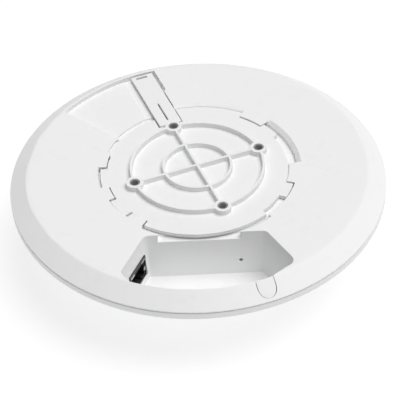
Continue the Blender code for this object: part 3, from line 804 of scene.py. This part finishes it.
@dataclass
class EthernetJack:
    """The shielded jack in the recess's left wall.

    Its own frame has its origin in the middle of its mouth and +X out of it. A spot in that
    frame is out, across and up, and angles are in degrees.
    """

    shop: Workshop
    azimuth: float = -24.3
    mouth: Point = (-27.3 * MM, -53.6 * MM)
    top: float = -10.4 * MM
    height: float = 11.2 * MM
    shell_rounding: float = 0.08 * MM
    insert_rounding: float = 0.1 * MM

    # The contact wires, and the carrier that holds them
    contacts: int = 8
    pitch: float = 1.02 * MM
    wire_size: tuple[float, float, float] = (7.0 * MM, 0.36 * MM, 0.3 * MM)
    wire_out: float = -6.6 * MM
    wire_up: float = 1.45 * MM
    wire_slant: float = -9.0
    carrier_size: tuple[float, float, float] = (2.0 * MM, 9.0 * MM, 0.5 * MM)
    carrier_spot: tuple[float, float, float] = (-10.6 * MM, 0.0, 1.9 * MM)

    # Each tab folded over the insert's edge: across, up, width, height
    tabs: list[tuple[float, float, float, float]] = field(
        default_factory=lambda: [
            (-5.3 * MM, 4.3 * MM, 3.2 * MM, 0.9 * MM),
            (5.3 * MM, 4.3 * MM, 3.2 * MM, 0.9 * MM),
            (6.1 * MM, -0.9 * MM, 1.4 * MM, 2.0 * MM),
            (-6.1 * MM, -0.9 * MM, 1.4 * MM, 2.0 * MM),
        ]
    )
    tab_out: float = -0.2 * MM
    tab_thickness: float = 0.2 * MM

    def build(self) -> None:
        """Make the shell, the insert, the contacts and the shell's tabs."""
        shell = self.shop.softened_node("jack_shell", self.shell_rounding)
        # The shell's near-black steel paints the shade inside the jack's deep mouth.
        self.shop.piece(
            "port_shell", shell, JACK_STEEL_PAINTED_SHADE, "access_point", ["jack_shell"], Slot.STEEL
        )
        insert = self.shop.softened_node("jack_insert", self.insert_rounding)
        self.shop.piece(
            "port_insert", insert, BLACK_NYLON, "access_point", ["jack_insert"], Slot.BLACK
        )
        self._contacts()
        self._tabs()

    def _place(self, out: float, across: float, up: float) -> Matrix:
        """Find a spot in the jack's own frame.

        Args:
            out: How far out of the mouth.
            across: How far across it.
            up: How far up from its middle.

        Returns:
            The matrix that takes a piece there.
        """
        base = Matrix.Translation((*self.mouth, self.top - self.height / 2))
        turn = Matrix.Rotation(math.radians(self.azimuth), 4, "Z")
        return base @ turn @ Matrix.Translation((out, across, up))

    def _contacts(self) -> None:
        """Make the row of slanting contact wires on their carrier."""
        work = bmesh.new()
        block(work, self.carrier_size, self._place(*self.carrier_spot))
        slant = Matrix.Rotation(math.radians(self.wire_slant), 4, "Y")
        for index in range(self.contacts):
            across = (index - (self.contacts - 1) / 2) * self.pitch
            spot = self._place(self.wire_out, across, self.wire_up)
            block(work, self.wire_size, spot @ slant)
        self.shop.piece(
            "port_contacts", work, GOLD_PLATE, "access_point", ["jack_contacts"], Slot.GOLD
        )

    def _tabs(self) -> None:
        """Make the shell's bright tabs in front of the insert."""
        work = bmesh.new()
        for across, up, width, height in self.tabs:
            size = (self.tab_thickness, width, height)
            block(work, size, self._place(self.tab_out, across, up))
        self.shop.piece("port_tabs", work, TINNED_STEEL, "access_point", slot=Slot.STEEL)


@dataclass
class Insides:
    """The boards, chips, shields and antennas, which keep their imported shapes."""

    shop: Workshop

    def build(self) -> None:
        """Give each shown node its finish."""
        for name, node in sorted(self.shop.frame["nodes"].items()):
            if node.hide_render:
                continue
            finish = self._finish(name)
            node.data.materials.clear()
            node.data.materials.append(self.shop.material(finish))
            LOG.info("node %s: %s", name, finish.name)

    def _finish(self, name: str) -> Finish:
        """Choose a node's finish.

        Args:
            name: The node's name.

        Returns:
            Its own finish, its family's, or else the casing's.
        """
        if name in NODE_FINISHES:
            return NODE_FINISHES[name]
        family = (finish for part, finish in NODE_FAMILIES.items() if part in name)
        return next(family, CASING_WHITE)


# ------------------------------------------------------------------ stage


@dataclass
class Studio:
    """The pale floor, the soft light and the camera.

    The camera's angles and the key light's softness are in degrees. The view is frame_steps wide,
    and the focal length and the spot where the frame's origin lands are in the same steps.
    """

    shop: Workshop
    floor_size: float = 12.0

    # The even sky, the backdrop that the camera sees in its stead, and the key light
    sky: float = 0.285
    sky_colour: tuple[float, float, float, float] = (0.985, 0.99, 1.0, 1.0)
    backdrop: float = 1.0
    key_direction: tuple[float, float, float] = (0.33, 0.0, 0.95)
    key_strength: float = 2.28
    key_softness: float = 48.0
    key_colour: tuple[float, float, float] = (1.0, 0.995, 0.985)

    # The camera
    camera_distance: float = 0.685
    camera_elevation: float = 40.68
    camera_roll: float = -2.6
    focal_steps: float = 1521.0
    frame_steps: float = 400.0
    origin_spot: tuple[float, float] = (197.3, 164.3)
    sensor_width: float = 36.0
    nearest: float = 0.05
    farthest: float = 50.0

    def build(self, ground: float) -> None:
        """Make the whole stage.

        Args:
            ground: The height of the floor.
        """
        self._floor(ground)
        self._light()
        self._camera()
        bpy.context.scene.view_settings.view_transform = "Standard"
        bpy.context.scene.view_settings.look = "None"

    def _floor(self, ground: float) -> None:
        """Lay the floor.

        Args:
            ground: Its height.
        """
        work = bmesh.new()
        bmesh.ops.create_grid(
            work,
            x_segments=1,
            y_segments=1,
            size=self.floor_size / 2,
            matrix=Matrix.Translation((0.0, 0.0, ground)),
        )
        mesh = bpy.data.meshes.new("floor")
        work.to_mesh(mesh)
        work.free()
        floor = bpy.data.objects.new("floor", mesh)
        bpy.context.scene.collection.objects.link(floor)
        mesh.materials.append(self.shop.material(FLOOR_WHITE))
        floor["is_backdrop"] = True

    def _light(self) -> None:
        """Set the even sky and the one soft key light."""
        world = bpy.data.worlds.new("studio_sky")
        bpy.context.scene.world = world
        world.use_nodes = True
        nodes, links = world.node_tree.nodes, world.node_tree.links
        sky = nodes["Background"]
        sky.inputs["Color"].default_value = self.sky_colour
        sky.inputs["Strength"].default_value = self.sky
        seen = nodes.new("ShaderNodeBackground")
        seen.inputs["Color"].default_value = PURE_WHITE
        seen.inputs["Strength"].default_value = self.backdrop
        path = nodes.new("ShaderNodeLightPath")
        mix = nodes.new("ShaderNodeMixShader")
        links.new(path.outputs["Is Camera Ray"], mix.inputs[0])
        links.new(sky.outputs[0], mix.inputs[1])
        links.new(seen.outputs[0], mix.inputs[2])
        links.new(mix.outputs[0], nodes["World Output"].inputs["Surface"])
        lamp = bpy.data.lights.new("key", "SUN")
        lamp.energy = self.key_strength
        lamp.angle = math.radians(self.key_softness)
        lamp.color = self.key_colour
        key = bpy.data.objects.new("key", lamp)
        key.rotation_euler = Vector(self.key_direction).to_track_quat("Z", "Y").to_euler()
        bpy.context.scene.collection.objects.link(key)

    def _camera(self) -> None:
        """Place the camera, aimed so that the frame's origin lands where it should."""
        tilt = math.radians(self.camera_elevation)
        eye = Vector((0.0, -math.cos(tilt), math.sin(tilt))) * self.camera_distance
        back = eye.normalized()
        level = Vector((1.0, 0.0, 0.0))
        rise = back.cross(level)
        roll = math.radians(self.camera_roll)
        right = level * math.cos(roll) + rise * math.sin(roll)
        up = rise * math.cos(roll) - level * math.sin(roll)
        half = self.frame_steps / 2
        aside = (self.origin_spot[0] - half) / self.focal_steps * self.camera_distance
        above = (half - self.origin_spot[1]) / self.focal_steps * self.camera_distance
        aim = -right * aside - up * above
        back = (eye - aim).normalized()
        right = (right - back * right.dot(back)).normalized()
        up = back.cross(right)
        lens = bpy.data.cameras.new("camera")
        lens.sensor_width = self.sensor_width
        lens.lens = self.sensor_width * self.focal_steps / self.frame_steps
        lens.clip_start = self.nearest
        lens.clip_end = self.farthest
        camera = bpy.data.objects.new("camera", lens)
        turn = Matrix((right, up, back)).transposed().to_4x4()
        camera.matrix_world = Matrix.Translation(eye) @ turn
        bpy.context.scene.collection.objects.link(camera)
        bpy.context.scene.camera = camera


def main() -> None:
    """Build every sub-assembly round the frame, then the stage."""
    logging.basicConfig(level=logging.INFO, format="%(message)s")
    for leftover in list(bpy.data.objects):
        bpy.data.objects.remove(leftover, do_unlink=True)
    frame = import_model()
    cad_low, cad_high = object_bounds()
    shop = Workshop(frame)
    for part in (
        Casing(shop),
        FrontCover(shop),
        MountingBracket(shop),
        EthernetJack(shop),
        Insides(shop),
    ):
        part.build()
    Studio(shop).build(cad_low.z)


if __name__ == "__main__":
    main()
